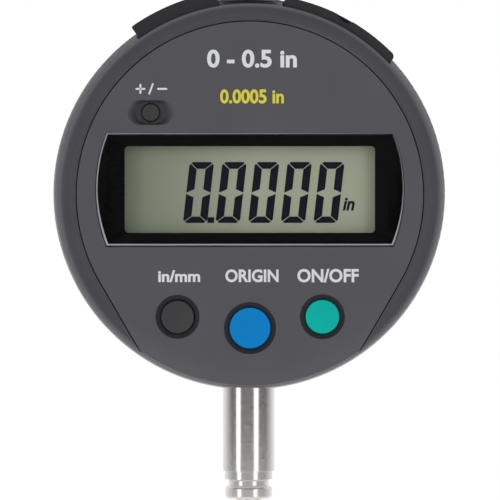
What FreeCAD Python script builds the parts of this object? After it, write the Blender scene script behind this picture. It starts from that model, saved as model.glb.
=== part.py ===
import FreeCAD, Part
import math
import os

# Digital plunger indicator on a plain 8 mm stem, millimetres.
# +Z runs up the spindle, the display looks towards -Y, +X is the reader's right.
# The origin is on the spindle axis, half way along the ground clamping stem.
#
# A display drum (bezel, window, keys, board, cell) turns on the front of a rear case.
# The rear case carries the stem, the spindle guides, the linear scale and the lug back.

V = FreeCAD.Vector
FACING = V(0, 1, 0)
os.makedirs("parts", exist_ok=True)

# ---------------------------------------------------------------- driving sizes
bezel_r = 30.0          # outside radius of the display bezel
display_depth = 6.9     # front plane to the back edge of the bezel
case_depth = 11.6       # rear case, front rim to back rim
case_step = 0.3         # the rear case stands this far outside the bezel
wall = 1.8              # wall of bezel and case
bezel_margin = 3.3      # width of the sloped border around the face panel
panel_t = 1.4           # face panel
ledge_t = 0.9           # ledge the panel rests on
seam = 0.16             # parting line between panel and bezel
tongue_deg = 30.0       # the panel's straight sides leave its circle this far below level

stem_d = 8.0            # ground stem
stem_length = 13.2      # length of the ground stem
stem_inside = 5.8       # reach of the stem into the case
spindle_d = 4.0         # measuring spindle
travel = 12.7           # measuring range
spindle_out = 13.7      # bare spindle below the stem, fully extended
contact_length = 7.3    # contact point below the spindle
ball_d = 3.0            # carbide ball
running = 0.02          # radial clearance of the spindle in its bushes

cell_d = 11.6           # silver oxide cell
cell_t = 5.4
tray_deg = 61.6         # direction the cell tray slides out, from +X towards +Z
tray_span = 36.4        # angle covered by the tray's front cover
tray_rise = 0.9         # cover stands this far outside the bezel
plug_deg = 112.35       # direction of the data socket
plug_span = 25.9        # angle covered by the data socket cover
plug_rise = 1.6         # cover stands this far outside the bezel

window_side = 3.05      # bezel-side border of the window, inside the panel circle
window_top = 9.37       # window above the face centre
window_bottom = 7.9     # window below the face centre
lcd_half = 19.25        # visible half width of the display
lcd_top = 7.45          # visible display above the face centre
lcd_bottom = 5.88       # visible display below the face centre
mask_t = 0.2
lcd_t = 1.3
board_t = 1.0
key_stroke = 0.4        # travel of the push keys
side_key_deg = 59.3     # direction of the two outer keys below level
side_key_r = 21.82      # outer keys from the face centre
mid_key_r = 20.5        # middle key from the face centre
unit_key_d = 5.05
zero_key_d = 6.3
power_key_d = 5.2
collar_w = 0.85         # visible ring around a key
sign_x = 15.26          # sign key left of the face centre
sign_z = 12.64          # sign key above the face centre
sign_key_d = 2.7
scoop_w = 7.23          # finger scoop around the sign key
scoop_h = 3.84
scoop_floor_w = 4.0
scoop_t = 0.9           # depth of the scoop

back_t = 1.8            # back plate
gasket_t = 0.4
lug_t = 5.0             # thickness of the lug
lug_r = 5.6             # rounded end of the lug
lug_hole_d = 6.5        # lug hole
lug_reach = 7.2         # lug hole from the back face
cap_d = 9.7             # spindle cap
cap_wall = 1.2
seat_h = 3.0            # collar the cap is pushed on
key_gap = 0.12          # radial clearance around keys
slide_gap = 0.2         # clearance around parts that pull out
turn_gap = 0.1          # axial play of the turning display
turn_fit = 0.05         # radial play of the turning display
ring_t = 0.8            # retaining ring of the turning display
stop_t = 0.5            # stop tab on the retaining ring

# ---------------------------------------------------------------- derived levels
stem_r = stem_d / 2.0
spindle_r = spindle_d / 2.0
zc = stem_length / 2.0 + bezel_r                # face centre
case_r = bezel_r + case_step
panel_r = bezel_r - bezel_margin
bore_r = bezel_r - wall                         # inside of the bezel
case_bore_r = case_r - wall - 0.1               # inside of the rear case
hub_r = bore_r - 1.25                           # display hub turning in the case lip
lip_r = hub_r + turn_fit
ledge_r = panel_r - 1.3                         # inner edge of the panel ledge

case_front = -(stem_r + 2.0)
case_back = case_front + case_depth
bezel_back = case_front - turn_gap
face = bezel_back - display_depth               # front plane
panel_back = face + panel_t
ledge_back = panel_back + ledge_t
mask_back = panel_back
lens_back = mask_back - mask_t
board_back = bezel_back
board_front = board_back - board_t
dome_h = 0.6
zebra_t = 1.2
lcd_back = board_front - zebra_t
lcd_front = lcd_back - lcd_t
lip_t = 0.85
hub_back = case_front + lip_t + turn_gap
ring_back = hub_back + ring_t
back_face = case_back + gasket_t + back_t

stem_top = stem_length / 2.0                    # shoulder against the case
stem_end = stem_top + stem_inside
stem_low = -stem_length / 2.0
step_low = stem_low - 1.3
neck_low = step_low - 1.05
lip_low = neck_low - 1.95
spindle_low = lip_low - spindle_out
tip_low = spindle_low - contact_length
seat_z = zc + case_r - 0.6                      # flat land on top of the case
spindle_top = seat_z + 0.7
cap_top = spindle_top + travel + 0.5 + cap_wall

shoulder_r = stem_r - 0.5                       # stem inside the case
step_r = stem_r - 0.3                           # turned step below the ground length
bush_r = spindle_r + 0.8                        # guide bush, outside
tray_wall = 0.9                                 # tray wall around the cell
tray_half = cell_d / 2.0 + tray_wall            # half width of the tray
cell_at = bore_r - cell_d / 2.0 - 1.9           # cell centre from the face centre
leaf_from = cell_at - cell_d / 2.0 + 0.5        # inner end of the cell's leaf contact
turn_screw_r = 0.75                             # screws of the retaining ring
screw_ring_r = bore_r - 2.6                     # circle they stand on
back_screw_r = 0.85                             # screws of the back plate
back_head_r = back_screw_r + 1.0
detector_screw_r = 0.5                          # screws of the reading board
scale_low = stem_end + 2.6                      # lower end of the scale
scale_h = 30.0


# ---------------------------------------------------------------- helpers
def box(x0, x1, y0, y1, z0, z1):
    return Part.makeBox(x1 - x0, y1 - y0, z1 - z0, V(x0, y0, z0))


def disc(r, y0, y1, x=0.0, z=0.0):
    """Round piece facing front, placed from the face centre."""
    return Part.makeCylinder(r, y1 - y0, V(x, y0, zc + z), FACING)


def tube(r_out, r_in, y0, y1, x=0.0, z=0.0):
    return disc(r_out, y0, y1, x, z).cut(disc(r_in, y0 - 1, y1 + 1, x, z))


def rod(r, z0, z1, x=0.0, y=0.0):
    return Part.makeCylinder(r, z1 - z0, V(x, y, z0))


def ring_z(r_out, r_in, z0, z1):
    return rod(r_out, z0, z1).cut(rod(r_in, z0 - 1, z1 + 1))


def lathe_z(points):
    """Turned piece on the spindle axis from (radius, z) points."""
    corners = [V(r, 0, z) for r, z in points]
    wire = Part.makePolygon(corners + [corners[0]])
    return Part.Face(wire).revolve(V(0, 0, 0), V(0, 0, 1), 360)


def lathe_y(edges, x=0.0, z=0.0):
    """Turned piece around a line facing front, from edges drawn in (radius, y)."""
    solid = Part.Face(Part.Wire(edges)).revolve(V(0, 0, 0), V(0, 1, 0), 360)
    solid.translate(V(x, 0, zc + z))
    return solid


def path_y(points):
    """Closed run of straight edges in (radius, y)."""
    corners = [V(r, y, 0) for r, y in points]
    return Part.makePolygon(corners + [corners[0]]).Edges


def prism(points, y0, y1):
    """Straight-sided prism from (x, z) points measured from the face centre."""
    corners = [V(x, y0, zc + z) for x, z in points]
    wire = Part.makePolygon(corners + [corners[0]])
    return Part.Face(wire).extrude(V(0, y1 - y0, 0))


def polar(r, deg):
    return r * math.cos(math.radians(deg)), r * math.sin(math.radians(deg))


def turned_to(shape, deg):
    """Turn a shape drawn along +X about the face centre."""
    shape.rotate(V(0, 0, zc), V(0, -1, 0), deg)
    return shape


def sector(r0, r1, deg, span, y0, y1):
    """Piece of a tube centred on a direction."""
    half = math.radians(span / 2.0)
    reach = r1 * 2.0
    wedge = prism([(0, 0), (reach * math.cos(half), reach * math.sin(half)),
                   (reach * 1.2, 0), (reach * math.cos(half), -reach * math.sin(half))], y0, y1)
    return turned_to(tube(r1, r0, y0, y1).common(wedge), deg)


def round_edges(shape, r, keep):
    """Round the edges whose middle point passes the test."""
    edges = []
    for edge in shape.Edges:
        middle = edge.valueAt((edge.FirstParameter + edge.LastParameter) / 2.0)
        if keep(middle):
            edges.append(edge)
    return shape.makeFillet(r, edges)


def join(pieces):
    """One solid, or one compound of separate solids, from a list of pieces."""
    whole = pieces[0]
    for piece in pieces[1:]:
        whole = whole.fuse(piece)
    return whole.removeSplitter()


def save(name, shape):
    shape.exportStep("parts/" + name + ".step")


def obround(w, h, y, x=0.0, z=0.0):
    """Closed outline with round ends facing front."""
    r = h / 2.0
    a = w / 2.0 - r
    zz = zc + z
    top = Part.LineSegment(V(x - a, y, zz + r), V(x + a, y, zz + r)).toShape()
    right = Part.Arc(V(x + a, y, zz + r), V(x + a + r, y, zz), V(x + a, y, zz - r)).toShape()
    low = Part.LineSegment(V(x + a, y, zz - r), V(x - a, y, zz - r)).toShape()
    left = Part.Arc(V(x - a, y, zz - r), V(x - a - r, y, zz), V(x - a, y, zz + r)).toShape()
    return Part.Wire([top, right, low, left])


def window_prism(grow, y0, y1):
    """Window shape: straight top and bottom, sides bowed on one circle."""
    mid = (window_top - window_bottom) / 2.0
    r = panel_r - window_side + grow
    half = (window_top + window_bottom) / 2.0 + grow
    x = math.sqrt(r * r - half * half)
    top = Part.LineSegment(V(-x, y0, zc + mid + half), V(x, y0, zc + mid + half)).toShape()
    right = Part.Arc(V(x, y0, zc + mid + half), V(r, y0, zc + mid), V(x, y0, zc + mid - half))
    low = Part.LineSegment(V(x, y0, zc + mid - half), V(-x, y0, zc + mid - half)).toShape()
    left = Part.Arc(V(-x, y0, zc + mid - half), V(-r, y0, zc + mid), V(-x, y0, zc + mid + half))
    outline = Part.Wire([top, right.toShape(), low, left.toShape()])
    return Part.Face(outline).extrude(V(0, y1 - y0, 0))


# ---------------------------------------------------------------- shared layouts
def skin_edges():
    """Front skin of the drum from the face to the back edge, in (radius, y)."""
    points = [(panel_r, face), (bezel_r - 2.6, face + 0.06), (bezel_r - 1.7, face + 0.25),
              (bezel_r - 0.9, face + 0.52), (bezel_r - 0.68, face + 0.66), (bezel_r - 0.56, face + 0.9),
              (bezel_r, face + 5.6), (bezel_r, bezel_back)]
    corners = [V(r, y, 0) for r, y in points]
    return Part.makePolygon(corners).Edges


def panel_outline(r, y0, y1):
    """Disc with a straight-sided tongue running down over the bezel."""
    a = math.radians(tongue_deg)
    reach = bezel_r
    x0 = r * math.cos(a)
    z0 = -r * math.sin(a)
    x1 = x0 - reach * math.sin(a)
    z1 = z0 - reach * math.cos(a)
    tongue = prism([(x0, z0), (x1, z1), (-x1, z1), (-x0, z0)], y0, y1)
    return disc(r, y0, y1).fuse(tongue)


def key_places():
    """Outer left, middle and outer right key: x, z, diameter."""
    x, z = polar(side_key_r, -side_key_deg)
    return [(-x, z, unit_key_d), (0.0, -mid_key_r, zero_key_d), (x, z, power_key_d)]


def turn_screw_places():
    """Screws that hold the retaining ring, back and bezel together."""
    return [polar(screw_ring_r, deg) for deg in (88.0, 0.0, 180.0, -35.0, -145.0)]


def back_screw_places():
    return [polar(case_bore_r - 1.5, deg) for deg in (45.0, 135.0, 225.0, 315.0)]


def tray_prism(grow, y0, y1, reach):
    """Tray outline: round inner end around the cell, straight sides running out."""
    half = tray_half + grow
    inner = disc(half, y0, y1, cell_at, 0.0)
    run = box(cell_at, reach, y0, y1, zc - half, zc + half)
    return turned_to(inner.fuse(run), tray_deg)


def plug_prism(half, y0, y1, r0, r1):
    """Block set across the data socket direction."""
    return turned_to(box(r0, r1, y0, y1, zc - half, zc + half), plug_deg)


tray_front = face + 1.15
tray_back = tray_front + cell_t - 0.3
cell_front = tray_front - 0.15
socket_half = 5.25
socket_front = face + 1.75
socket_back = bezel_back - 0.85


# ---------------------------------------------------------------- display drum
def bezel_ring():
    inside = [Part.makeLine(V(bezel_r, bezel_back, 0), V(bore_r, bezel_back, 0)),
              Part.makeLine(V(bore_r, bezel_back, 0), V(bore_r, ledge_back, 0)),
              Part.makeLine(V(bore_r, ledge_back, 0), V(ledge_r, ledge_back, 0)),
              Part.makeLine(V(ledge_r, ledge_back, 0), V(ledge_r, panel_back, 0)),
              Part.makeLine(V(ledge_r, panel_back, 0), V(panel_r, panel_back, 0)),
              Part.makeLine(V(panel_r, panel_back, 0), V(panel_r, face, 0))]
    ring = lathe_y(skin_edges() + inside)
    ring = ring.cut(panel_outline(panel_r + seam / 2.0, face - 1, panel_back))
    for x, z in turn_screw_places():
        ring = ring.fuse(disc(turn_screw_r + 0.85, ledge_back, bezel_back - 0.8, x, z))
    for x, z in turn_screw_places():
        ring = ring.cut(disc(turn_screw_r + 0.05, ledge_back + 0.5, bezel_back + 1, x, z))
    ring = ring.cut(tray_prism(slide_gap, tray_front - slide_gap, tray_back + slide_gap, bezel_r + 5))
    # seats the two covers lie in, open towards the rear case
    ring = ring.cut(sector(bezel_r - 1.0, bezel_r + 5, tray_deg, tray_span + 0.8,
                           tray_front - slide_gap, bezel_back + 1))
    ring = ring.cut(sector(bezel_r - 1.0, bezel_r + 5, plug_deg, plug_span + 0.8,
                           tray_front - slide_gap, bezel_back + 1))
    ring = ring.cut(plug_prism(socket_half, socket_front, socket_back, 15, bezel_r + 5))
    return ring.removeSplitter()


def face_panel():
    skin = [Part.makeLine(V(0, bezel_back, 0), V(0, face, 0)),
            Part.makeLine(V(0, face, 0), V(panel_r, face, 0))]
    solid = lathe_y(skin + skin_edges() + [Part.makeLine(V(bezel_r, bezel_back, 0), V(0, bezel_back, 0))])
    panel = solid.common(panel_outline(panel_r - seam / 2.0, face - 1, panel_back))
    panel = panel.cut(window_prism(0.12, face - 1, panel_back + 1))
    for x, z, d in key_places():
        panel = panel.cut(disc(d / 2.0 + collar_w, face - 1, panel_back + 1, x, z))
    # finger scoop with sloped ends around the sign key
    mouth = obround(scoop_w, scoop_h, face - 0.01, -sign_x, sign_z)
    floor = obround(scoop_floor_w + 0.6, scoop_h - 0.5, face + scoop_t, -sign_x, sign_z)
    panel = panel.cut(Part.makeLoft([mouth, floor], True, True))
    panel = panel.cut(disc(sign_key_d / 2.0 + key_gap, face - 1, panel_back + 1, -sign_x, sign_z))
    # relief behind the face for the cell tray
    panel = panel.cut(tray_prism(slide_gap, cell_front - slide_gap, panel_back + 1, bezel_r + 5))
    return panel


def window_lens():
    lens = window_prism(0.0, face, lens_back)
    rim = [edge for edge in lens.Edges if abs(edge.BoundBox.YMax - face) < 0.001]
    return lens.makeChamfer(0.35, rim)


def window_mask():
    mask = window_prism(-0.2, lens_back, mask_back)
    opening = box(-lcd_half, lcd_half, lens_back - 1, mask_back + 1, zc - lcd_bottom, zc + lcd_top)
    opening = round_edges(opening, 0.6, lambda p: abs(abs(p.x) - lcd_half) < 0.01 and
                          abs(p.z - zc - (lcd_top - lcd_bottom) / 2.0) > 3)
    return mask.cut(opening)


holder_half = lcd_half + 3.35
holder_top = window_top + 0.8
holder_bottom = window_bottom + 0.8


def lcd_holder():
    frame = box(-holder_half, holder_half, mask_back, board_front, zc - holder_bottom, zc + holder_top)
    frame = frame.cut(box(-lcd_half - 0.15, lcd_half + 0.15, mask_back - 1, lcd_front + 1,
                          zc - lcd_bottom - 0.15, zc + lcd_top + 0.15))
    return frame.cut(box(-lcd_half - 2.0, lcd_half + 2.0, lcd_front, board_front + 1,
                         zc - lcd_bottom - 1.7, zc + lcd_top + 1.7))


def lcd_panel():
    return box(-lcd_half - 1.9, lcd_half + 1.9, lcd_front, lcd_back,
               zc - lcd_bottom - 1.6, zc + lcd_top + 1.6)


def zebra_strips():
    low = box(-lcd_half, lcd_half, lcd_back, board_front, zc - lcd_bottom - 1.4, zc - lcd_bottom - 0.2)
    high = box(-lcd_half, lcd_half, lcd_back, board_front, zc + lcd_top + 0.2, zc + lcd_top + 1.4)
    return Part.makeCompound([low, high])


def main_board():
    board = disc(ledge_r - 0.2, board_front, board_back)
    board = board.cut(tray_prism(1.2, board_front - 1, board_back + 1, bezel_r))
    board = board.cut(plug_prism(socket_half + 0.3, board_front - 1, board_back + 1, panel_r - 6.6, bezel_r))
    for x, z in turn_screw_places():
        board = board.cut(disc(2.0, board_front - 1, board_back + 1, x, z))
    for x, z in board_screw_places():
        board = board.cut(disc(0.7, board_front - 1, board_back + 1, x, z))
    return board


def board_screw_places():
    r = ledge_r - 2.4
    return [polar(r, deg) for deg in (-30.0, 210.0, 146.0)]


def board_screws():
    screws = []
    for x, z in board_screw_places():
        shank = disc(0.6, board_front - 0.01, hub_back - 0.4, x, z)
        head = disc(1.2, board_front - 0.8, board_front, x, z)
        head = head.cut(disc(0.45, board_front - 1, board_front - 0.35, x, z))
        screws.append(head.fuse(shank))
    return Part.makeCompound(screws)


def board_chips():
    chips = [box(-5.5, 5.5, board_front - 1.0, board_front, zc - 4.0, zc + 5.5)]
    for i in range(4):
        x = -14.5 + 2.6 * i
        if i > 1:
            x = x + 17.0
        chips.append(box(x, x + 1.6, board_front - 0.8, board_front, zc + 1.0, zc + 4.2))
    chips.append(box(-6.3, -1.9, board_front - 2.2, board_front, zc - 15.8, zc - 13.6))
    chips.append(box(2.3, 5.5, board_front - 1.4, board_front, zc - 15.6, zc - 13.4))
    return Part.makeCompound(chips)


def flex_socket():
    return box(-2.6, 2.6, board_back, board_back + 0.35, zc - 1.8, zc + 1.8)


def switch_domes():
    domes = []
    for x, z, d in key_places() + [(-sign_x, sign_z, sign_key_d)]:
        dome = Part.makeCone(1.9, 1.1, dome_h, V(x, board_front, zc + z), V(0, -1, 0))
        domes.append(dome)
    return Part.makeCompound(domes)


def key_collars():
    collars = []
    for x, z, d in key_places():
        r_in = d / 2.0 + key_gap
        r_out = d / 2.0 + collar_w - 0.02
        profile = path_y([(r_in, face + 0.3), (r_out - 0.15, face + 0.06), (r_out, face + 0.06),
                          (r_out, panel_back), (r_in, panel_back)])
        collars.append(lathe_y(profile, x, z))
    return Part.makeCompound(collars)


def push_key(x, z, d, top):
    """Cap, retaining flange behind the panel and plunger towards the switch dome."""
    cap = disc(d / 2.0, top, panel_back + 0.15, x, z)
    cap = round_edges(cap, 0.22, lambda p: abs(p.y - top) < 0.01)
    flange = disc(d / 2.0 + 0.5, panel_back + 0.1, panel_back + 0.7, x, z)
    plunger = disc(0.95, panel_back + 0.6, board_front - dome_h - key_stroke - 0.05, x, z)
    return join([cap, flange, plunger])


def battery_tray():
    half = (tray_front + tray_back) / 2.0
    tray = tray_prism(0.0, tray_front, tray_back, bezel_r - 0.4)
    tray = tray.cut(turned_to(disc(cell_d / 2.0 + 0.05, tray_front - 1, tray_back + 1, cell_at, 0.0),
                              tray_deg))
    cover = sector(bezel_r - 0.8, bezel_r + tray_rise, tray_deg, tray_span,
                   tray_front, bezel_back - 0.15)
    tips = [edge for edge in cover.Edges if edge.BoundBox.YLength > 3 and
            abs(math.hypot(edge.BoundBox.XMin, edge.BoundBox.ZMin - zc) - bezel_r - tray_rise) < 0.01]
    cover = cover.makeFillet(0.8, tips)
    # nail notch in the middle of the cover
    notch = turned_to(disc(1.6, tray_front - 1, half + 0.6, bezel_r + tray_rise + 0.9, 0.0), tray_deg)
    return join([tray, cover]).cut(notch)


def battery_cell():
    x, z = polar(cell_at, tray_deg)
    can = disc(cell_d / 2.0, cell_front + 0.5, cell_front + cell_t, x, z)
    can = round_edges(can, 0.4, lambda p: p.y > cell_front + 1)
    lid = disc(cell_d / 2.0 - 1.3, cell_front, cell_front + 0.6, x, z)
    return join([can, lid])


def battery_contacts():
    """Leaf behind the cell, and one on the board side wall of the bay."""
    r0 = leaf_from
    leaf = turned_to(box(r0, cell_at + 3.7, bezel_back - 0.25, bezel_back, zc - 1.4, zc + 1.4), tray_deg)
    pad = turned_to(box(r0 - 2.8, r0 - 2.0, board_front - 3.0, board_front, zc - 1.0, zc + 1.0), tray_deg)
    return Part.makeCompound([leaf, pad])


def connector_socket():
    """Data socket: a shell open to the rim with a tongue for the contacts."""
    r0 = panel_r - 6.2
    shell = plug_prism(socket_half, socket_front, socket_back, r0, bezel_r - 1.7)
    cavity = plug_prism(socket_half - 0.8, socket_front + 0.8, socket_back - 0.8, r0 + 1.2, bezel_r)
    tongue = plug_prism(socket_half - 1.6, socket_front + 1.75, socket_back - 1.35, r0, bezel_r - 2.6)
    return shell.cut(cavity).fuse(tongue).removeSplitter()


def connector_pins():
    pins = []
    r0 = panel_r - 5.0
    for i in range(5):
        offset = (i - 2) * 1.3
        pin = box(r0, bezel_r - 2.8, socket_front + 1.6, socket_front + 1.75,
                  zc + offset - 0.25, zc + offset + 0.25)
        pins.append(turned_to(pin, plug_deg))
    return Part.makeCompound(pins)


def connector_cover():
    cover = sector(bezel_r - 0.8, bezel_r + plug_rise, plug_deg, plug_span,
                   tray_front + 0.05, bezel_back - 0.15)
    corner = bezel_r + plug_rise
    tips = [edge for edge in cover.Edges if edge.BoundBox.YLength > 3 and
            abs(math.hypot(edge.BoundBox.XMin, edge.BoundBox.ZMin - zc) - corner) < 0.01]
    cover = cover.makeFillet(0.35, tips)
    lip = plug_prism(socket_half - 1.2, socket_front + 1.1, socket_back - 1.1, bezel_r - 2.2, bezel_r - 0.3)
    lip = lip.cut(plug_prism(socket_half - 1.35, socket_front + 1.5, socket_back - 1.2,
                             bezel_r - 3.0, bezel_r - 2.1))
    return join([cover, lip])


def display_back():
    floor = disc(hub_r, bezel_back, hub_back)
    rim = tube(bore_r - 0.15, ledge_r + 0.3, bezel_back - 0.8, bezel_back + 0.02)
    back = floor.fuse(rim)
    back = back.cut(disc(9.0, bezel_back + 0.2, hub_back + 1))
    back = back.cut(box(-3.2, 3.2, bezel_back - 1, hub_back + 1, zc - 2.4, zc + 2.4))
    back = back.cut(tray_prism(slide_gap, tray_front, bezel_back - 0.1, bezel_r))
    back = back.cut(sector(bezel_r - 1.9, bezel_r + 5, tray_deg, tray_span + 0.8,
                           tray_front, bezel_back + 0.001))
    for x, z in turn_screw_places():
        back = back.cut(disc(turn_screw_r + 0.15, bezel_back - 1, hub_back + 1, x, z))
    for x, z in board_screw_places():
        back = back.cut(disc(0.62, bezel_back - 1, hub_back - 0.35, x, z))
    # rails the cell tray runs between
    half = tray_half + slide_gap
    for side in (-1, 1):
        low = min(side * half, side * (half + 0.7))
        rail = box(cell_at - 1.8, ledge_r - 0.6, board_front - 1.6, bezel_back + 0.02,
                   zc + low, zc + low + 0.7)
        rail = turned_to(rail, tray_deg)
        back = back.fuse(rail.common(disc(ledge_r - 0.4, board_front - 3, hub_back)))
    return back.removeSplitter()


def turn_ring():
    """Retaining ring behind the case lip, with the tab that ends the turn."""
    ring = tube(lip_r + 1.1, bore_r - 4.7, hub_back, ring_back)
    tab = box(-1.5, 1.5, hub_back, ring_back + stop_t, zc + lip_r - 0.9, zc + lip_r + 1.0)
    ring = ring.fuse(tab).removeSplitter()
    for x, z in turn_screw_places():
        ring = ring.cut(Part.makeCone(turn_screw_r + 0.1, turn_screw_r + 0.75, 0.65, V(x, ring_back - 0.65, zc + z), FACING))
        ring = ring.cut(disc(turn_screw_r + 0.1, hub_back - 1, ring_back + 1, x, z))
    return ring


def turn_screws():
    screws = []
    for x, z in turn_screw_places():
        head = Part.makeCone(turn_screw_r, turn_screw_r + 0.65, 0.62, V(x, ring_back - 0.64, zc + z), FACING)
        shank = disc(turn_screw_r, ledge_back + 1.0, ring_back - 0.6, x, z)
        slot = box(x - 1.6, x + 1.6, ring_back - 0.3, ring_back + 1, zc + z - 0.15, zc + z + 0.15)
        screws.append(head.fuse(shank).cut(slot).removeSplitter())
    return Part.makeCompound(screws)


# ---------------------------------------------------------------- rear case
def rear_case():
    ring = tube(case_r, case_bore_r, case_front, case_back)
    ring = round_edges(ring, 0.12, lambda p: abs(p.y - case_front) < 0.01 and
                       math.hypot(p.x, p.z - zc) > case_r - 0.1)
    lip = tube(case_bore_r + 0.3, lip_r, case_front, case_front + lip_t)
    body = ring.fuse(lip)
    inside = disc(case_bore_r + 0.5, case_front, case_back)
    # pads at the foot: stem in the middle, guide pin and spring post at the sides
    foot = box(-5.3, 5.3, -stem_r, case_back - 0.6, stem_top - 2, stem_end - 0.4)
    feet = box(-11.2, 11.2, -2.5, 2.6, stem_top - 2, stem_end - 0.8)
    # pads at the head: upper bush in the middle, guide pin at the side
    head = box(-5.2, 5.2, -bush_r - 0.7, 4.4, seat_z - 4.5, seat_z + 1)
    heads = box(5.0, 11.2, -2.5, 2.6, seat_z - 7.0, seat_z)
    for pad in (foot, feet, head, heads):
        body = body.fuse(pad.common(inside))
    for x, z in back_screw_places():
        boss = disc(2.2, -bush_r - 0.5, case_back, x, z).common(inside)
        body = body.fuse(boss)
    for x, z in back_screw_places():
        body = body.cut(disc(back_screw_r, 0.0, case_back + 1, x, z))
    # flat lands for the stem shoulder and the cap seat, then the bores
    body = body.cut(rod(stem_r + 3.0, stem_top - 3, stem_top))
    body = body.cut(rod(cap_d / 2.0 + 0.4, seat_z, seat_z + 3))
    body = body.cut(rod(shoulder_r, stem_top - 1, stem_end + 1))
    body = body.cut(rod(bush_r, seat_z - 6, seat_z + 1))
    body = body.cut(rod(guide_r, stem_top + 3.6, seat_z - 2.2, guide_x, 0))
    return body.removeSplitter()


guide_x = 8.9
guide_r = 1.0


def back_plate():
    plate = disc(case_r - 0.2, case_back + gasket_t, back_face)
    plate = round_edges(plate, 0.6, lambda p: abs(p.y - back_face) < 0.01)
    lug_y = back_face + lug_reach
    tab = Part.makeCylinder(lug_r, lug_t, V(-lug_t / 2.0, lug_y, zc), V(1, 0, 0))
    neck = box(-lug_t / 2.0, lug_t / 2.0, back_face - 0.5, lug_y, zc - lug_r, zc + lug_r)
    foot = disc(lug_r + 2.2, back_face - 0.5, back_face + 0.9)
    foot = round_edges(foot, 0.4, lambda p: p.y > back_face + 0.8)
    plate = join([plate, foot, neck, tab])
    for x, z in detector_screw_places():
        plate = plate.fuse(disc(1.5, detector_back, case_back + gasket_t + 0.01, x, z))
    plate = plate.cut(Part.makeCylinder(lug_hole_d / 2.0, lug_t + 2, V(-lug_t / 2.0 - 1, lug_y, zc), V(1, 0, 0)))
    for x, z in back_screw_places():
        plate = plate.cut(disc(back_screw_r + 0.3, case_back - 1, back_face + 1, x, z))
        plate = plate.cut(disc(back_head_r + 0.1, back_face - 1.15, back_face + 1, x, z))
    for x, z in detector_screw_places():
        plate = plate.cut(disc(detector_screw_r, detector_back - 0.5, case_back + 1.2, x, z))
    return plate.removeSplitter()


def back_gasket():
    return tube(case_r - 0.35, case_bore_r, case_back, case_back + gasket_t)


def back_screws():
    screws = []
    for x, z in back_screw_places():
        shank = disc(back_screw_r, 0.6, back_face - 1.0, x, z)
        head = disc(back_head_r, back_face - 1.15, back_face - 0.05, x, z)
        head = round_edges(head, 0.3, lambda p: p.y > back_face - 0.1)
        cross = box(x - 1.1, x + 1.1, back_face - 0.6, back_face + 1, zc + z - 0.2, zc + z + 0.2)
        cross = cross.fuse(box(x - 0.2, x + 0.2, back_face - 0.6, back_face + 1, zc + z - 1.1, zc + z + 1.1))
        screws.append(head.fuse(shank).cut(cross).removeSplitter())
    return Part.makeCompound(screws)


def stem():
    outer = [(bush_r, stem_end), (shoulder_r, stem_end), (shoulder_r, stem_top), (stem_r, stem_top),
             (stem_r, stem_low), (step_r, stem_low - 0.08), (step_r, step_low),
             (neck_r, step_low - 0.25), (neck_r, neck_low + 0.1), (lip_ring_r - 0.25, neck_low - 0.1),
             (lip_ring_r, neck_low - 0.4), (lip_ring_r, lip_low + 0.35), (lip_ring_r - 0.3, lip_low),
             (seal_r, lip_low), (seal_r, lip_low + 1.0), (spindle_r + 0.3, lip_low + 1.0),
             (spindle_r + 0.3, step_low + 0.4), (bush_r, step_low + 0.4)]
    return lathe_z(outer)


neck_r = stem_r - 0.9
lip_ring_r = stem_r - 0.375
seal_r = spindle_r + 0.95


def lower_bush():
    return ring_z(bush_r, spindle_r + running, step_low + 0.4, stem_end - 0.8)


def stem_seal():
    return lathe_z([(seal_r, lip_low + 0.95), (seal_r, lip_low + 0.05), (spindle_r + 0.3, lip_low + 0.05),
                    (spindle_r + 0.08, lip_low + 0.2), (spindle_r + 0.08, lip_low + 0.45),
                    (spindle_r + 0.45, lip_low + 0.95)])


def upper_bush():
    """Upper guide with the collar the spindle cap is pushed on."""
    return lathe_z([(spindle_r + running, seat_z - 5.2), (bush_r, seat_z - 5.2), (bush_r, seat_z),
                    (collar_r, seat_z), (collar_r, seat_z + 1.2), (collar_r - 0.25, seat_z + 1.5),
                    (collar_r - 0.25, seat_z + 2.2), (collar_r, seat_z + 2.5),
                    (collar_r - 0.2, seat_z + seat_h), (spindle_r + 0.25, seat_z + seat_h),
                    (spindle_r + 0.25, seat_z + 0.3), (spindle_r + running, seat_z)])


collar_r = cap_d / 2.0 - cap_wall - 0.05


def spindle_cap():
    """Deep cap over the upper end of the spindle."""
    r = cap_d / 2.0
    shell = rod(r, seat_z + 0.05, cap_top)
    shell = round_edges(shell, 1.0, lambda p: p.z > cap_top - 0.1)
    hollow = rod(collar_r + 0.05, seat_z - 1, cap_top - cap_wall)
    shell = shell.cut(hollow)
    # shallow flutes for the fingers on the upper half
    for i in range(16):
        x, y = polar(r + 0.42, i * 22.5)
        shell = shell.cut(rod(0.6, seat_z + 6.5, cap_top - 2.2, x, y))
    return shell


def guide_pin():
    return rod(guide_r, stem_top + 3.7, seat_z - 2.3, guide_x, 0)


detector_front = spindle_r + 2.1
detector_back = detector_front + 0.8
detector_low = stem_end + 18.0


def detector_screw_places():
    """Screws of the reading board, from the face centre."""
    low = detector_low - zc + 2.0
    return [(7.4, low), (-7.4, low + 20.0)]


def detector_board():
    board = box(-9.0, 9.0, detector_front, detector_back, detector_low, detector_low + 24.0)
    for x, z in detector_screw_places():
        board = board.cut(disc(0.7, detector_front - 1, detector_back + 1, x, z))
    return board


def detector_chips():
    z0 = detector_low
    left = box(-8.2, -4.9, detector_front - 0.9, detector_front, z0 + 9.0, z0 + 16.0)
    right = box(5.2, 7.6, detector_front - 0.7, detector_front, z0 + 18.6, z0 + 22.4)
    return Part.makeCompound([left, right])


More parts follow.
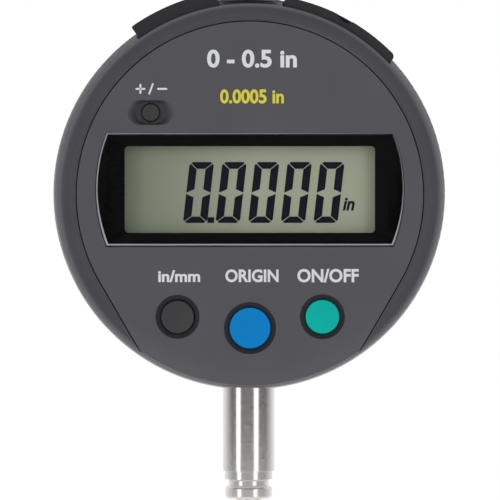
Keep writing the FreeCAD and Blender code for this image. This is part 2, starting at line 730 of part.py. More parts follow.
def detector_screws():
    screws = []
    for x, z in detector_screw_places():
        head = disc(1.1, detector_front - 0.7, detector_front, x, z)
        head = head.cut(disc(0.4, detector_front - 1, detector_front - 0.35, x, z))
        shank = disc(detector_screw_r, detector_front - 0.1, case_back + 1.1, x, z)
        screws.append(head.fuse(shank).removeSplitter())
    return Part.makeCompound(screws)


def signal_flex():
    """Ribbon from the reading board forward to the centre of the turning display."""
    z0 = zc + 1.2
    z1 = zc + 5.2
    flap = box(5.6, 8.4, detector_front - 0.3, detector_front, z0, z1)
    run = box(5.6, 5.9, hub_back + 0.3, detector_front, z0, z1)
    end = box(1.0, 5.9, hub_back + 0.3, hub_back + 0.6, z0, z1)
    return join([flap, run, end])


spring_x = -8.0
spring_r = 1.25
spring_wire = 0.2
spring_low = stem_end + 0.4
spring_top = spring_low + 15.0


def spring_post():
    post = rod(spring_r - spring_wire - 0.1, stem_end - 0.8, spring_low + 1.2, spring_x, 0)
    return post.fuse(rod(1.9, stem_end - 0.8, spring_low - 0.25, spring_x, 0)).removeSplitter()


# ---------------------------------------------------------------- spindle group
def spindle():
    shaft = rod(spindle_r, spindle_low, spindle_top)
    shaft = shaft.cut(rod(1.27, spindle_low - 1, spindle_low + 6.0))
    shaft = shaft.cut(rod(1.05, spindle_top - 4.0, spindle_top + 1))
    return round_edges(shaft, 0.25, lambda p: math.hypot(p.x, p.y) > spindle_r - 0.1 and
                       (p.z > spindle_top - 0.1 or p.z < spindle_low + 0.1))


def contact_body():
    top = spindle_low
    ball_z = tip_low + ball_d / 2.0
    cup = ball_d / 2.0 - 0.15
    turned = lathe_z([(0, top + 5.4), (1.1, top + 5.4), (1.25, top + 5.2), (1.25, top),
                      (spindle_r, top), (spindle_r, top - 1.9), (1.25, top - 3.3),
                      (cup, ball_z + 0.2), (0, ball_z + 0.2)])
    return turned.cut(Part.makeSphere(ball_d / 2.0, V(0, 0, ball_z)))


def contact_ball():
    return Part.makeSphere(ball_d / 2.0, V(0, 0, tip_low + ball_d / 2.0))


def scale_carrier():
    z0 = stem_end + 1.5
    block = box(-4.4, 4.4, -2.9, spindle_r + 1.2, z0, z0 + 13.0)
    backing = box(-4.0, 4.0, spindle_r + 0.4, spindle_r + 1.2, z0, scale_low + scale_h)
    right = box(4.0, guide_x + 2.0, -1.6, 1.6, z0 + 1.5, z0 + 6.5)
    left = box(spring_x - 1.8, -4.0, -1.6, 1.6, spring_top - 1.6, spring_top + 0.6)
    web = box(-4.4, -2.6, -1.6, 1.6, z0, spring_top + 0.6)
    carrier = join([block, backing, right, left, web])
    carrier = carrier.cut(rod(spindle_r + 0.01, z0 - 1, z0 + scale_h + 4))
    carrier = carrier.cut(box(guide_x - guide_r - 0.05, guide_x + 4, -guide_r - 0.05, guide_r + 0.05,
                              z0, z0 + 8))
    carrier = carrier.cut(rod(spring_r + spring_wire + 0.1, z0, spring_top + 0.25, spring_x, 0))
    carrier = carrier.cut(Part.makeCylinder(0.8, 6, V(0, -3.5, z0 + 9.5), V(0, 1, 0)).cut(
        rod(spindle_r + 0.01, z0, z0 + 13)))
    return carrier.removeSplitter()


def carrier_screw():
    z = stem_end + 11.0
    head = Part.makeCylinder(1.5, 0.9, V(0, -3.8, z), V(0, 1, 0))
    shank = Part.makeCylinder(0.75, 3.9 - spindle_r - 0.1, V(0, -3.8, z), V(0, 1, 0))
    slot = box(-1.6, 1.6, -4.2, -3.5, z - 0.18, z + 0.18)
    return head.fuse(shank).cut(slot).removeSplitter()


def scale_glass():
    return box(-3.5, 3.5, spindle_r + 1.2, spindle_r + 1.9, scale_low, scale_low + scale_h - 0.5)


def scale_pattern():
    """Fine receiver pads along the scale."""
    bars = []
    for i in range(24):
        z = scale_low + 1.4 + 1.14 * i
        bars.append(box(-2.6, 2.6, spindle_r + 1.9, spindle_r + 1.94, z, z + 0.6))
    return Part.makeCompound(bars)


def stop_buffer():
    return ring_z(spindle_r + 1.3, spindle_r + 0.01, stem_end + 0.35, stem_end + 1.45)


def return_spring():
    height = spring_top - spring_low
    turns = 11
    helix = Part.makeHelix(height / turns, height, spring_r)
    profile = Part.Wire([Part.makeCircle(spring_wire, V(spring_r, 0, 0), V(0, 1, 0))])
    coil = Part.Wire(helix).makePipeShell([profile], True, True)
    coil.translate(V(spring_x, 0, spring_low))
    return coil


# ---------------------------------------------------------------- write the nodes
places = key_places()
save("bezel_ring", bezel_ring())
save("face_panel", face_panel())
save("window_lens", window_lens())
save("window_mask", window_mask())
save("lcd_holder", lcd_holder())
save("lcd_panel", lcd_panel())
save("zebra_strips", zebra_strips())
save("main_board", main_board())
save("board_chips", board_chips())
save("board_screws", board_screws())
save("flex_socket", flex_socket())
save("switch_domes", switch_domes())
save("key_collars", key_collars())
save("unit_key", push_key(places[0][0], places[0][1], unit_key_d, face - 0.12))
save("zero_key", push_key(places[1][0], places[1][1], zero_key_d, face - 0.12))
save("power_key", push_key(places[2][0], places[2][1], power_key_d, face - 0.12))
save("sign_key", push_key(-sign_x, sign_z, sign_key_d, face + 0.45))
save("battery_tray", battery_tray())
save("battery_cell", battery_cell())
save("battery_contacts", battery_contacts())
save("connector_socket", connector_socket())
save("connector_pins", connector_pins())
save("connector_cover", connector_cover())
save("display_back", display_back())
save("turn_ring", turn_ring())
save("turn_screws", turn_screws())

save("rear_case", rear_case())
save("back_plate", back_plate())
save("back_gasket", back_gasket())
save("back_screws", back_screws())
save("stem", stem())
save("lower_bush", lower_bush())
save("stem_seal", stem_seal())
save("upper_bush", upper_bush())
save("spindle_cap", spindle_cap())
save("guide_pin", guide_pin())
save("detector_board", detector_board())
save("detector_chips", detector_chips())
save("detector_screws", detector_screws())
save("signal_flex", signal_flex())
save("spring_post", spring_post())

save("spindle", spindle())
save("contact_body", contact_body())
save("contact_ball", contact_ball())
save("scale_carrier", scale_carrier())
save("carrier_screw", carrier_screw())
save("scale_glass", scale_glass())
save("scale_pattern", scale_pattern())
save("stop_buffer", stop_buffer())
save("return_spring", return_spring())
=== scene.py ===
import math
import bpy
import bmesh
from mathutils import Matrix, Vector


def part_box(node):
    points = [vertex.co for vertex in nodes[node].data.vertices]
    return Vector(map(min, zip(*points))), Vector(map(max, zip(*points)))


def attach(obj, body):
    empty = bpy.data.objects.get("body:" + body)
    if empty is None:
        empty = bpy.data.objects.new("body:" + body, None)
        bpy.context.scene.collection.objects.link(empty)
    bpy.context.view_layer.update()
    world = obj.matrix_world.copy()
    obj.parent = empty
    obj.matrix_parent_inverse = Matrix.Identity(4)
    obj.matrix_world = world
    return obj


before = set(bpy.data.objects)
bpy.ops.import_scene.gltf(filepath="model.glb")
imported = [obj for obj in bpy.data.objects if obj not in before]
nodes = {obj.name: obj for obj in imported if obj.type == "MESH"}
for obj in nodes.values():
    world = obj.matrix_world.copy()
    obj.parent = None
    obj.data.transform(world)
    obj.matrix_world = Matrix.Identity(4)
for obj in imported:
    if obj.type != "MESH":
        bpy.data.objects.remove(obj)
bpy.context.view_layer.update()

# Digital plunger indicator seen from the front, in metres.
# Places on the display are written in millimetres from the face centre, x to the right and z up.

MM = 0.001
slot_of = {name: node.data.materials[0].name for name, node in nodes.items()}
for plain in list(bpy.data.materials):
    bpy.data.materials.remove(plain)

case_low, case_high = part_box("rear_case")
key_low, key_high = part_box("sign_key")
CENTRE_Z = (case_low.z + case_high.z) / 2
FACE_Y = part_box("face_panel")[0].y
LCD_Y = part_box("lcd_panel")[0].y
TIP_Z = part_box("contact_ball")[0].z
SCOOP = ((key_low.x + key_high.x) / 2, FACE_Y, (key_low.z + key_high.z) / 2)
SCOOP_REACH = 4.2 * MM
# Where the painted shade across the display starts and ends.
LCD_DARK_X = -17.0 * MM
LCD_FULL_X = 1.0 * MM
PRINT_Y = FACE_Y - 0.015 * MM
INK_Y = LCD_Y - 0.03 * MM
PRINT_THICKNESS = 0.02 * MM


# ---------------------------------------------------------------- colours and materials
def linear(value):
    c = value / 255.0
    return c / 12.92 if c <= 0.04045 else ((c + 0.055) / 1.055) ** 2.4


def rgb(r, g, b):
    return (linear(r), linear(g), linear(b), 1.0)


def scaled(colour, k):
    return (min(1.0, colour[0] * k), min(1.0, colour[1] * k), min(1.0, colour[2] * k), 1.0)


class Graph:
    """Short calls that add linked nodes to a shader tree."""

    def __init__(self, tree):
        self.tree = tree

    def add(self, kind, **inputs):
        node = self.tree.nodes.new(kind)
        for key, value in inputs.items():
            node.inputs[key.replace("_", " ")].default_value = value
        return node

    def link(self, a, b):
        self.tree.links.new(a, b)

    def place(self, scale=(1, 1, 1)):
        coords = self.add("ShaderNodeTexCoord")
        mapping = self.add("ShaderNodeMapping", Scale=scale)
        self.link(coords.outputs["Object"], mapping.inputs["Vector"])
        return mapping.outputs["Vector"]

    def noise(self, size_mm, detail=3.0, stretch=(1, 1, 1)):
        node = self.add("ShaderNodeTexNoise", Scale=1000.0 / size_mm, Detail=detail)
        self.link(self.place(stretch), node.inputs["Vector"])
        return node.outputs["Fac"]

    def ramp(self, source, low, high, a, b):
        node = self.add("ShaderNodeMapRange")
        node.inputs["From Min"].default_value = low
        node.inputs["From Max"].default_value = high
        node.inputs["To Min"].default_value = a
        node.inputs["To Max"].default_value = b
        self.link(source, node.inputs["Value"])
        return node.outputs["Result"]

    def math(self, operation, first, second):
        """One sum of two terms, each a number or a node's output."""
        node = self.add("ShaderNodeMath")
        node.operation = operation
        for socket, term in zip(node.inputs, (first, second)):
            if isinstance(term, bpy.types.NodeSocket):
                self.link(term, socket)
            else:
                socket.default_value = term
        return node.outputs[0]

    def mix(self, fac, a, b):
        node = self.tree.nodes.new("ShaderNodeMix")
        node.data_type = "RGBA"
        node.inputs[6].default_value = a
        node.inputs[7].default_value = b
        self.link(fac, node.inputs[0])
        return node.outputs[2]

    def bump(self, source, height_mm, strength=1.0):
        node = self.add("ShaderNodeBump", Distance=height_mm * MM, Strength=strength)
        self.link(source, node.inputs["Height"])
        return node.outputs["Normal"]


class Finish(Graph):
    """A material with one Principled shader."""

    def __init__(self, name):
        self.material = bpy.data.materials.new(name)
        self.material.use_nodes = True
        super().__init__(self.material.node_tree)
        self.shader = self.tree.nodes["Principled BSDF"]

    def set(self, **values):
        for key, value in values.items():
            self.shader.inputs[key.replace("_", " ")].default_value = value

    def tint_over(self, share, colour):
        """Lays a second colour over the base colour, by a share from 0 to 1."""
        base = self.shader.inputs["Base Color"]
        node = self.add("ShaderNodeMix")
        node.data_type = "RGBA"
        node.inputs[7].default_value = colour
        self.link(share, node.inputs[0])
        self.link(base.links[0].from_socket, node.inputs[6])
        self.link(node.outputs[2], base)

    def edge_wear(self, highlight_colour, amount):
        """Lightens the outer edges a little: a painted highlight along the edges."""
        geometry = self.add("ShaderNodeNewGeometry")
        self.tint_over(self.ramp(geometry.outputs["Pointiness"], 0.52, 0.60, 0.0, amount), highlight_colour)


def moulded(name, colour, rough=0.45, grain_mm=0.16, height_mm=0.004, vary=0.08, gloss=0.5, wear=0.0):
    """Moulded plastic: fine spark-eroded grain, faint cloudiness, slightly uneven gloss, and where asked a
    painted highlight on the outer edges.
    """
    g = Finish(name)
    clouds = g.ramp(g.noise(7.0, 4.0), 0.3, 0.7, 0.0, 1.0)
    g.link(g.mix(clouds, scaled(colour, 1 - vary), scaled(colour, 1 + vary)), g.shader.inputs["Base Color"])
    # Painted highlight: the sharpest outer edges are coloured lighter.
    if wear:
        g.edge_wear(scaled(colour, 2.2), wear)
    fine = g.noise(grain_mm, 2.0)
    g.link(g.ramp(fine, 0.3, 0.7, rough - 0.05, rough + 0.07), g.shader.inputs["Roughness"])
    g.link(g.bump(fine, height_mm, 0.6), g.shader.inputs["Normal"])
    g.set(Specular_IOR_Level=gloss)
    return g


def plastic(*spec, **more):
    return moulded(*spec, **more).material


def behind_face(g, start_mm, end_mm, most=1.0):
    """Rises from 0 to most between two depths behind the front of the panel."""
    parts = g.add("ShaderNodeSeparateXYZ")
    g.link(g.add("ShaderNodeTexCoord").outputs["Object"], parts.inputs[0])
    return g.ramp(parts.outputs["Y"], FACE_Y + start_mm * MM, FACE_Y + end_mm * MM, 0.0, most)


def panel_finish(name, colour):
    """Panel plastic, with painted shade darkening the inside of the finger scoop."""
    g = moulded(name, colour, 0.48, 0.14, 0.006, 0.05)
    away = g.add("ShaderNodeVectorMath")
    away.operation = "DISTANCE"
    away.inputs[1].default_value = SCOOP
    g.link(g.add("ShaderNodeTexCoord").outputs["Object"], away.inputs[0])
    near = g.math("LESS_THAN", away.outputs["Value"], SCOOP_REACH)
    # Painted shade: the scoop's inside is darkened more the deeper it lies.
    g.tint_over(g.math("MULTIPLY", behind_face(g, 0.02, 0.6, 0.75), near), scaled(colour, 0.25))
    return g.material


def drum_finish(name, colour):
    """Bezel plastic with a painted highlight along the front corner, painted shade on the side behind it and
    a painted highlight on its outer edges.
    """
    g = moulded(name, colour, 0.45, 0.14, 0.002, 0.04, 0.14, wear=0.3)
    # Painted highlight: lighter colour along the bezel's front corner.
    g.tint_over(behind_face(g, 0.40, 0.58), scaled(colour, 1.9))
    # Painted shade: darker colour on the bezel's side behind the corner.
    g.tint_over(behind_face(g, 0.7, 1.1), scaled(colour, 0.3))
    return g.material


def metal(name, colour, rough=0.25, stretch=(1, 1, 1), grain_mm=0.12, height_mm=0.001, vary=0.06):
    """Metal with fine cutting or grinding marks, drawn out along the axes whose stretch is under 1."""
    g = Finish(name)
    marks = g.noise(grain_mm, 3.0, stretch)
    clouds = g.noise(4.0, 2.0)
    g.link(g.mix(clouds, scaled(colour, 1 - vary), scaled(colour, 1 + vary)), g.shader.inputs["Base Color"])
    g.link(g.ramp(marks, 0.3, 0.7, rough - 0.06, rough + 0.08), g.shader.inputs["Roughness"])
    g.link(g.bump(marks, height_mm, 0.5), g.shader.inputs["Normal"])
    g.set(Metallic=1.0)
    return g.material


def clear_pane(name, shine):
    """Hard window: see-through, with a reflection on its outer sides that grows towards grazing angles."""
    g = Finish(name)
    see = g.add("ShaderNodeBsdfTransparent")
    see.inputs["Color"].default_value = (0.97, 0.98, 0.97, 1.0)
    gloss = g.add("ShaderNodeBsdfGlossy")
    gloss.inputs["Roughness"].default_value = 0.04
    haze = g.noise(9.0, 2.0)
    g.link(g.bump(haze, 0.002, 0.3), gloss.inputs["Normal"])
    fresnel = g.add("ShaderNodeFresnel")
    fresnel.inputs["IOR"].default_value = shine
    side = g.add("ShaderNodeNewGeometry")
    outer = g.ramp(side.outputs["Backfacing"], 0.0, 1.0, 1.0, 0.0)
    both = g.add("ShaderNodeMixShader")
    g.link(g.math("MULTIPLY", fresnel.outputs[0], outer), both.inputs[0])
    g.link(see.outputs[0], both.inputs[1])
    g.link(gloss.outputs[0], both.inputs[2])
    g.tree.nodes.remove(g.shader)
    g.link(both.outputs[0], g.tree.nodes["Material Output"].inputs["Surface"])
    return g.material


def display_glass(name):
    """Reflective liquid crystal panel: grey green, with painted shade darkening it towards its left end,
    very fine speckle.
    """
    g = Finish(name)
    coords = g.add("ShaderNodeTexCoord")
    parts = g.add("ShaderNodeSeparateXYZ")
    g.link(coords.outputs["Object"], parts.inputs[0])
    # Painted shade: the colour darkens from LCD_FULL_X towards LCD_DARK_X on the left.
    across = g.ramp(parts.outputs["X"], LCD_DARK_X, LCD_FULL_X, 0.0, 1.0)
    tint = g.mix(across, rgb(141, 147, 131), rgb(181, 183, 163))
    speckle = g.add("ShaderNodeMix")
    speckle.data_type = "RGBA"
    speckle.blend_type = "MULTIPLY"
    speckle.inputs[0].default_value = 1.0
    grain = g.ramp(g.noise(0.3, 2.0), 0.3, 0.7, 0.96, 1.03)
    g.link(tint, speckle.inputs[6])
    g.link(grain, speckle.inputs[7])
    g.link(speckle.outputs[2], g.shader.inputs["Base Color"])
    g.link(g.bump(g.noise(0.2, 2.0), 0.001, 0.3), g.shader.inputs["Normal"])
    g.set(Roughness=0.5, Specular_IOR_Level=0.2)
    return g.material


def circuit_board(name):
    """Solder mask over copper tracks, seen as slightly lighter bands."""
    g = Finish(name)
    tracks = g.noise(1.4, 1.0, (1, 1, 6))
    lines = g.ramp(tracks, 0.49, 0.51, 0.0, 1.0)
    g.link(g.mix(lines, rgb(22, 84, 46), rgb(34, 106, 60)), g.shader.inputs["Base Color"])
    g.link(g.bump(lines, 0.02, 0.4), g.shader.inputs["Normal"])
    g.set(Roughness=0.35)
    return g.material


materials = {
    "bezel_plastic": drum_finish("bezel_plastic", rgb(75, 74, 80)),
    "panel_plastic": panel_finish("panel_plastic", rgb(82, 81, 88)),
    "window_clear": clear_pane("window_clear", 1.4),
    "mask_black": plastic("mask_black", rgb(7, 7, 8), 0.2, 0.5, 0.001, 0.05, 0.12),
    "lcd_glass": display_glass("lcd_glass"),
    "rubber_black": plastic("rubber_black", rgb(30, 30, 31), 0.75, 0.3, 0.01, 0.1, 0.3),
    "board_green": circuit_board("board_green"),
    "chip_black": plastic("chip_black", rgb(28, 28, 30), 0.6, 0.2, 0.01, 0.1),
    "screw_steel": metal("screw_steel", rgb(178, 176, 172), 0.3, (1, 1, 1), 0.4),
    "contact_metal": metal("contact_metal", rgb(206, 178, 112), 0.28, (1, 1, 4), 0.3),
    "key_black": plastic("key_black", rgb(54, 54, 56), 0.5, 0.15, 0.004, 0.06),
    "key_blue": plastic("key_blue", rgb(0, 134, 210), 0.5, 0.2, 0.003, 0.05, 0.12),
    "key_green": plastic("key_green", rgb(0, 184, 173), 0.5, 0.2, 0.003, 0.05, 0.12),
    # The covers carry a painted highlight on their outer edges.
    "cover_plastic": plastic("cover_plastic", rgb(37, 36, 39), 0.5, 0.16, 0.006, 0.08, 0.35, wear=0.25),
    "cell_steel": metal("cell_steel", rgb(200, 199, 195), 0.22, (1, 1, 1), 0.5),
    "socket_black": plastic("socket_black", rgb(24, 24, 25), 0.5, 0.2, 0.006, 0.1),
    "case_silver": metal("case_silver", rgb(186, 187, 190), 0.42, (1, 1, 1), 0.1, 0.004, 0.03),
    "back_silver": metal("back_silver", rgb(176, 177, 180), 0.42, (1, 1, 1), 0.1, 0.004, 0.04),
    "retainer_metal": metal("retainer_metal", rgb(170, 168, 164), 0.35, (1, 1, 1), 0.3),
    "stem_steel": metal("stem_steel", rgb(216, 213, 210), 0.17, (0.08, 0.08, 1), 0.05, 0.0002, 0.03),
    "bush_brass": metal("bush_brass", rgb(196, 160, 92), 0.3, (1, 1, 1), 0.3),
    "ball_carbide": metal("ball_carbide", rgb(150, 151, 156), 0.08, (1, 1, 1), 0.6, 0.0003),
    "scale_glass": plastic("scale_glass", rgb(188, 202, 196), 0.12, 0.5, 0.001, 0.04),
    "scale_copper": metal("scale_copper", rgb(190, 122, 84), 0.3, (1, 1, 1), 0.3),
    "flex_amber": plastic("flex_amber", rgb(176, 104, 30), 0.35, 0.6, 0.003, 0.08),
    "spring_steel": metal("spring_steel", rgb(160, 158, 154), 0.25, (1, 1, 1), 0.3),
    "collar_grey": plastic("collar_grey", rgb(38, 38, 43), 0.6, 0.15, 0.003, 0.06, 0.25),
    "cap_black": plastic("cap_black", rgb(34, 34, 36), 0.5, 0.2, 0.006, 0.1),
    # Light grey that stands for the highlight on the window's chamfer.
    "edge_bright": plastic("edge_bright", rgb(186, 186, 190), 0.4, 0.3, 0.0006, 0.05),
    "segment_ink": plastic("segment_ink", rgb(10, 18, 36), 0.6, 0.3, 0.001, 0.12, 0.15),
    "print_white": plastic("print_white", rgb(226, 228, 232), 0.55, 0.2, 0.002, 0.03, 0.3),
    "print_yellow": plastic("print_yellow", rgb(222, 214, 62), 0.55, 0.2, 0.002, 0.04, 0.3),
}


# ---------------------------------------------------------------- CAD nodes: finish and soft shading
def rounding_group():
    """Modifier: joins the seams between faces and smooths all but the sharp edges."""
    tree = bpy.data.node_groups.new("soft_shading", "GeometryNodeTree")
    tree.interface.new_socket("Geometry", in_out="INPUT", socket_type="NodeSocketGeometry")
    tree.interface.new_socket("Geometry", in_out="OUTPUT", socket_type="NodeSocketGeometry")
    start = tree.nodes.new("NodeGroupInput")
    end = tree.nodes.new("NodeGroupOutput")
    merge = tree.nodes.new("GeometryNodeMergeByDistance")
    merge.inputs["Distance"].default_value = 0.0002 * MM
    angle = tree.nodes.new("GeometryNodeInputMeshEdgeAngle")
    compare = tree.nodes.new("FunctionNodeCompare")
    compare.data_type = "FLOAT"
    compare.operation = "LESS_THAN"
    compare.inputs[1].default_value = math.radians(26)
    faces = tree.nodes.new("GeometryNodeSetShadeSmooth")
    edges = tree.nodes.new("GeometryNodeSetShadeSmooth")
    edges.domain = "EDGE"
    tree.links.new(start.outputs[0], merge.inputs["Geometry"])
    tree.links.new(merge.outputs[0], faces.inputs["Geometry"])
    tree.links.new(faces.outputs[0], edges.inputs["Geometry"])
    tree.links.new(angle.outputs["Unsigned Angle"], compare.inputs[0])
    tree.links.new(compare.outputs[0], edges.inputs["Shade Smooth"])
    tree.links.new(edges.outputs[0], end.inputs[0])
    return tree


finish_of = {"key_collars": "collar_grey", "spindle_cap": "cap_black"}


def dress_nodes():
    soft = rounding_group()
    for name, node in nodes.items():
        node.data.materials.clear()
        node.data.materials.append(materials[finish_of.get(name, slot_of[name])])
        modifier = node.modifiers.new("soft_shading", "NODES")
        modifier.node_group = soft


# ---------------------------------------------------------------- new pieces
def new_mesh(name, material, build):
    """A mesh from bmesh code that rides on the display."""
    bm = bmesh.new()
    build(bm)
    bmesh.ops.recalc_face_normals(bm, faces=bm.faces)
    mesh = bpy.data.meshes.new(name)
    bm.to_mesh(mesh)
    bm.free()
    mesh.materials.append(materials[material])
    piece = bpy.data.objects.new(name, mesh)
    bpy.context.scene.collection.objects.link(piece)
    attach(piece, "display")


def plate(bm, outline, front, back):
    """Thin plate with a straight-sided outline of (x, z) points in mm, between two depths in metres."""
    ahead = [bm.verts.new((x * MM, front, CENTRE_Z + z * MM)) for x, z in outline]
    behind = [bm.verts.new((x * MM, back, CENTRE_Z + z * MM)) for x, z in outline]
    bm.faces.new(ahead)
    bm.faces.new(list(reversed(behind)))
    count = len(outline)
    for i in range(count):
        j = (i + 1) % count
        bm.faces.new((ahead[j], ahead[i], behind[i], behind[j]))


def bar(bm, start, end, width, front, back, steps=6):
    """Thin printed stroke with round ends."""
    a = Vector(start)
    b = Vector(end)
    along = (b - a).normalized()
    heading = math.atan2(along.y, along.x)
    points = []
    for middle, turn in ((b, -90), (a, 90)):
        for i in range(steps + 1):
            t = heading + math.radians(turn + 180.0 * i / steps)
            points.append((middle.x + width / 2 * math.cos(t), middle.y + width / 2 * math.sin(t)))
    plate(bm, points, front, back)


WINDOW_HIGH = 9.37
WINDOW_LOW = -7.9
WINDOW_REACH = 23.65


def window_line(steps=22):
    """Outline of the window in mm: straight top and bottom, sides bowed on one circle."""
    middle = (WINDOW_HIGH + WINDOW_LOW) / 2
    half = (WINDOW_HIGH - WINDOW_LOW) / 2
    turn = math.asin(half / WINDOW_REACH)
    right = [(WINDOW_REACH * math.cos(t), middle + WINDOW_REACH * math.sin(t))
             for t in (turn - 2 * turn * i / steps for i in range(steps + 1))]
    left = [(-x, z) for x, z in reversed(right)]
    return right + left


EDGE_THIN = 0.08
EDGE_EXTRA = 0.16
EDGE_FRONT = FACE_Y - 0.01 * MM
EDGE_BACK = FACE_Y + 0.2 * MM


def edge_width(x, z):
    """Width of the painted highlight slope in mm, widest below and to the left."""
    low = max(0.0, min(1.0, 0.5 - z / 14.0))
    left = max(0.0, min(1.0, 0.5 - x / 40.0))
    return EDGE_THIN + EDGE_EXTRA * max(low * 0.9, left) * (0.55 + 0.45 * low)


def window_edge(bm):
    """Light grey slope around the window, a painted highlight on the window's chamfer."""
    line = window_line()
    drawn = []
    for x, z in line:
        width = edge_width(x, z)
        drawn.append((x - width * x / WINDOW_REACH, z - math.copysign(width, z)))

    def ring(points, depth):
        return [bm.verts.new((x * MM, depth, CENTRE_Z + z * MM)) for x, z in points]

    outer = ring(line, EDGE_BACK)
    inner = ring(drawn, EDGE_FRONT)
    under = ring(drawn, EDGE_BACK)
    count = len(outer)
    for i in range(count):
        j = (i + 1) % count
        bm.faces.new((outer[i], outer[j], inner[j], inner[i]))
        bm.faces.new((inner[i], inner[j], under[j], under[i]))
        bm.faces.new((under[i], under[j], outer[j], outer[i]))


DIGIT_LEFT = -10.3
DIGIT_LOW = -4.52
DIGIT_HEIGHT = 9.39
DIGIT_WIDTH = 3.75
DIGIT_PITCH = 5.03
DIGIT_COUNT = 5
LEAN = math.tan(math.radians(6.5))


def zero_outlines():
    """The six lit segments of a zero, upright, from its lower left corner."""
    w, h = DIGIT_WIDTH, DIGIT_HEIGHT
    side, top, low = 1.2, 1.05, 0.98
    cut, gap, middle = 0.5, 0.05, h * 0.487
    waist, shoulder = 0.1, 0.62
    m = cut / 2
    upper = [(0, h - cut), (0, middle + waist), (side, middle + shoulder), (side, h - top - 2 * gap),
             (m - gap, h - m - gap)]
    lower = [(0, cut), (m - gap, m + gap), (side, low + 2 * gap), (side, middle - shoulder),
             (0, middle - waist)]
    crown = [(m + gap, h - m + gap), (cut, h), (w - cut, h), (w - m - gap, h - m + gap),
             (w - side - gap, h - top), (side + gap, h - top)]
    foot = [(m + gap, m - gap), (side + gap, low), (w - side - gap, low), (w - m - gap, m - gap),
            (w - cut, 0), (cut, 0)]
    flip = lambda points: [(w - x, z) for x, z in points]
    return [crown, foot, upper, flip(upper), lower, flip(lower)]


def leaned(points, x0):
    return [(x0 + x + z * LEAN, DIGIT_LOW + z) for x, z in points]


def segments(bm):
    back = LCD_Y - 0.01 * MM
    for i in range(DIGIT_COUNT):
        for outline in zero_outlines():
            plate(bm, leaned(outline, DIGIT_LEFT + DIGIT_PITCH * i), INK_Y, back)
    high, wide = 0.88, 1.0
    point = leaned([(0, 0), (0, high), (wide, high), (wide, 0)], DIGIT_LEFT + DIGIT_WIDTH + 0.02)
    plate(bm, point, INK_Y, back)


def lettering(name, words, left, right, low, high, front, material, lean=0.0):
    """Printed words from the built-in plain typeface, fitted to a place in mm."""
    curve = bpy.data.curves.new(name, "FONT")
    curve.body = words
    curve.offset = 0.03
    curve.resolution_u = 4
    curve.extrude = 0.004
    curve.shear = lean
    holder = bpy.data.objects.new(name + "_type", curve)
    bpy.context.scene.collection.objects.link(holder)
    bpy.context.view_layer.update()
    mesh = bpy.data.meshes.new_from_object(holder.evaluated_get(bpy.context.evaluated_depsgraph_get()))
    bpy.data.objects.remove(holder)
    xs = [v.co.x for v in mesh.vertices]
    ys = [v.co.y for v in mesh.vertices]
    zs = [v.co.z for v in mesh.vertices]
    wide = (right - left) / (max(xs) - min(xs))
    tall = (high - low) / (max(ys) - min(ys))
    for v in mesh.vertices:
        x = (left + (v.co.x - min(xs)) * wide) * MM
        z = CENTRE_Z + (low + (v.co.y - min(ys)) * tall) * MM
        y = front + PRINT_THICKNESS * (max(zs) - v.co.z) / (max(zs) - min(zs))
        v.co = (x, y, z)
    mesh.materials.clear()
    mesh.materials.append(materials[material])
    for polygon in mesh.polygons:
        polygon.material_index = 0
    piece = bpy.data.objects.new(name, mesh)
    bpy.context.scene.collection.objects.link(piece)
    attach(piece, "display")


def sign_print(bm):
    """Plus, slash and minus above the sign key, as strokes of (start, end, width) in mm."""
    plus = [((-17.45, 16.16), (-16.2, 16.16), 0.3), ((-16.83, 15.54), (-16.83, 16.0), 0.3),
            ((-16.83, 16.32), (-16.83, 16.78), 0.3)]
    slash = [((-15.47, 15.42), (-14.93, 16.9), 0.27)]
    minus = [((-14.1, 16.16), (-12.85, 16.16), 0.31)]
    for start, end, width in plus + slash + minus:
        bar(bm, start, end, width, PRINT_Y, FACE_Y + 0.005 * MM)


dress_nodes()
new_mesh("display_segments", "segment_ink", segments)
new_mesh("window_edge", "edge_bright", window_edge)
new_mesh("print_sign", "print_white", sign_print)
lettering("print_unit", "in/mm", -14.12, -7.66, -13.54, -11.7, PRINT_Y, "print_white")
lettering("print_zero", "ORIGIN", -3.8, 4.4, -13.56, -11.57, PRINT_Y, "print_white")
lettering("print_power", "ON/OFF", 7.27, 16.72, -13.6, -11.5, PRINT_Y, "print_white")
lettering("print_range", "0 - 0.5 in", -6.6, 7.2, 19.4, 22.2, PRINT_Y, "print_white")
lettering("print_step", "0.0005 in", -4.6, 5.2, 13.9, 16.1, PRINT_Y, "print_yellow")
lettering("display_unit", "in", 14.35, 16.2, -2.62, -0.62, INK_Y, "segment_ink", lean=0.25)


# ---------------------------------------------------------------- floor, light and camera
FLOOR_REACH = 0.32
FLOOR_DROP = 0.05 * MM
FLOOR_SIDES = 96
FLOOR_ALBEDO = 0.88
FLOOR_GLOW = 0.44
AMBIENT = 0.62
FRONT_GREY = 0.12
BACK_GREY = 1.0


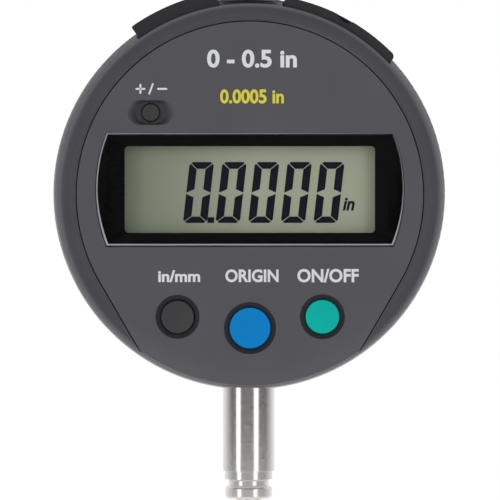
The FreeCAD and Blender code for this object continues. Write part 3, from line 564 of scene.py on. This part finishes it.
def stage_floor():
    """White paper disc just under the ball, clear from below; it glows to the eye and in reflections."""
    bm = bmesh.new()
    turns = [2 * math.pi * i / FLOOR_SIDES for i in range(FLOOR_SIDES)]
    bm.faces.new([bm.verts.new((FLOOR_REACH * math.cos(t), FLOOR_REACH * math.sin(t), TIP_Z - FLOOR_DROP))
                  for t in turns])
    mesh = bpy.data.meshes.new("floor")
    bm.to_mesh(mesh)
    bm.free()
    floor = bpy.data.objects.new("floor", mesh)
    bpy.context.scene.collection.objects.link(floor)
    g = Finish("floor_paper")
    g.set(Base_Color=(FLOOR_ALBEDO, FLOOR_ALBEDO, FLOOR_ALBEDO, 1.0), Roughness=0.9, Specular_IOR_Level=0.1)
    paths = g.add("ShaderNodeLightPath").outputs
    seen = g.math("MAXIMUM", paths["Is Camera Ray"], paths["Is Transmission Ray"])
    seen = g.math("MAXIMUM", seen, paths["Is Glossy Ray"])
    glow = g.add("ShaderNodeEmission")
    g.link(g.math("MULTIPLY", seen, FLOOR_GLOW), glow.inputs["Strength"])
    both = g.add("ShaderNodeAddShader")
    g.link(g.shader.outputs[0], both.inputs[0])
    g.link(glow.outputs[0], both.inputs[1])
    below = g.add("ShaderNodeNewGeometry")
    gone = g.add("ShaderNodeBsdfTransparent")
    pick = g.add("ShaderNodeMixShader")
    g.link(below.outputs["Backfacing"], pick.inputs[0])
    g.link(both.outputs[0], pick.inputs[1])
    g.link(gone.outputs[0], pick.inputs[2])
    g.link(pick.outputs[0], g.tree.nodes["Material Output"].inputs["Surface"])
    mesh.materials.append(g.material)


def studio():
    """White to the eye and through glass; reflections see white behind the object and grey in front."""
    world = bpy.data.worlds.new("studio")
    bpy.context.scene.world = world
    world.use_nodes = True
    world.node_tree.nodes.clear()
    g = Graph(world.node_tree)
    parts = g.add("ShaderNodeSeparateXYZ")
    g.link(g.add("ShaderNodeTexCoord").outputs["Generated"], parts.inputs[0])
    paths = g.add("ShaderNodeLightPath").outputs
    reflected = g.add("ShaderNodeMix")
    g.link(paths["Is Glossy Ray"], reflected.inputs[0])
    reflected.inputs[2].default_value = AMBIENT
    g.link(g.ramp(parts.outputs["Y"], -0.15, 0.7, FRONT_GREY, BACK_GREY), reflected.inputs[3])
    final = g.add("ShaderNodeMix")
    g.link(g.math("MAXIMUM", paths["Is Camera Ray"], paths["Is Transmission Ray"]), final.inputs[0])
    g.link(reflected.outputs[0], final.inputs[2])
    final.inputs[3].default_value = 1.0
    background = g.add("ShaderNodeBackground")
    background.inputs["Color"].default_value = (1, 1, 1, 1)
    g.link(final.outputs[0], background.inputs["Strength"])
    g.link(background.outputs[0], g.add("ShaderNodeOutputWorld").inputs["Surface"])


def strip(name, turn, distance, width, height, radiance):
    """Upright soft box, turned about the object from the viewing side, to the right for a positive angle."""
    lamp = bpy.data.lights.new(name, "AREA")
    lamp.shape = "RECTANGLE"
    lamp.size = width
    lamp.size_y = height
    lamp.energy = radiance * math.pi * width * height
    holder = bpy.data.objects.new(name, lamp)
    bpy.context.scene.collection.objects.link(holder)
    a = math.radians(turn)
    holder.location = (distance * math.sin(a), -distance * math.cos(a), CENTRE_Z)
    aim = Vector((0, 0, CENTRE_Z)) - holder.location
    holder.rotation_mode = "QUATERNION"
    holder.rotation_quaternion = aim.to_track_quat("-Z", "Y")
    holder.visible_camera = False


CAMERA_DISTANCE = 1.0
CAMERA_SHIFT = (-0.0157, 0.021)
AIM_BELOW_CENTRE = 0.0086


def camera():
    """Long lens in front of the face, a little to its left and above it."""
    data = bpy.data.cameras.new("camera")
    data.sensor_width = 36.0
    data.lens = 468.75
    data.clip_start = 0.01
    data.clip_end = 50.0
    holder = bpy.data.objects.new("camera", data)
    bpy.context.scene.collection.objects.link(holder)
    across, up = CAMERA_SHIFT
    holder.location = (across, FACE_Y - CAMERA_DISTANCE, CENTRE_Z + up)
    aim = Vector((0, FACE_Y, CENTRE_Z - AIM_BELOW_CENTRE)) - holder.location
    holder.rotation_mode = "QUATERNION"
    holder.rotation_quaternion = aim.to_track_quat("-Z", "Y")
    bpy.context.scene.camera = holder


stage_floor()
studio()
strip("left_softbox", -48, 0.6, 0.2, 0.7, 2.1)
strip("right_softbox", 33, 0.6, 0.22, 0.7, 1.75)
camera()
bpy.context.scene.view_settings.view_transform = "Standard"
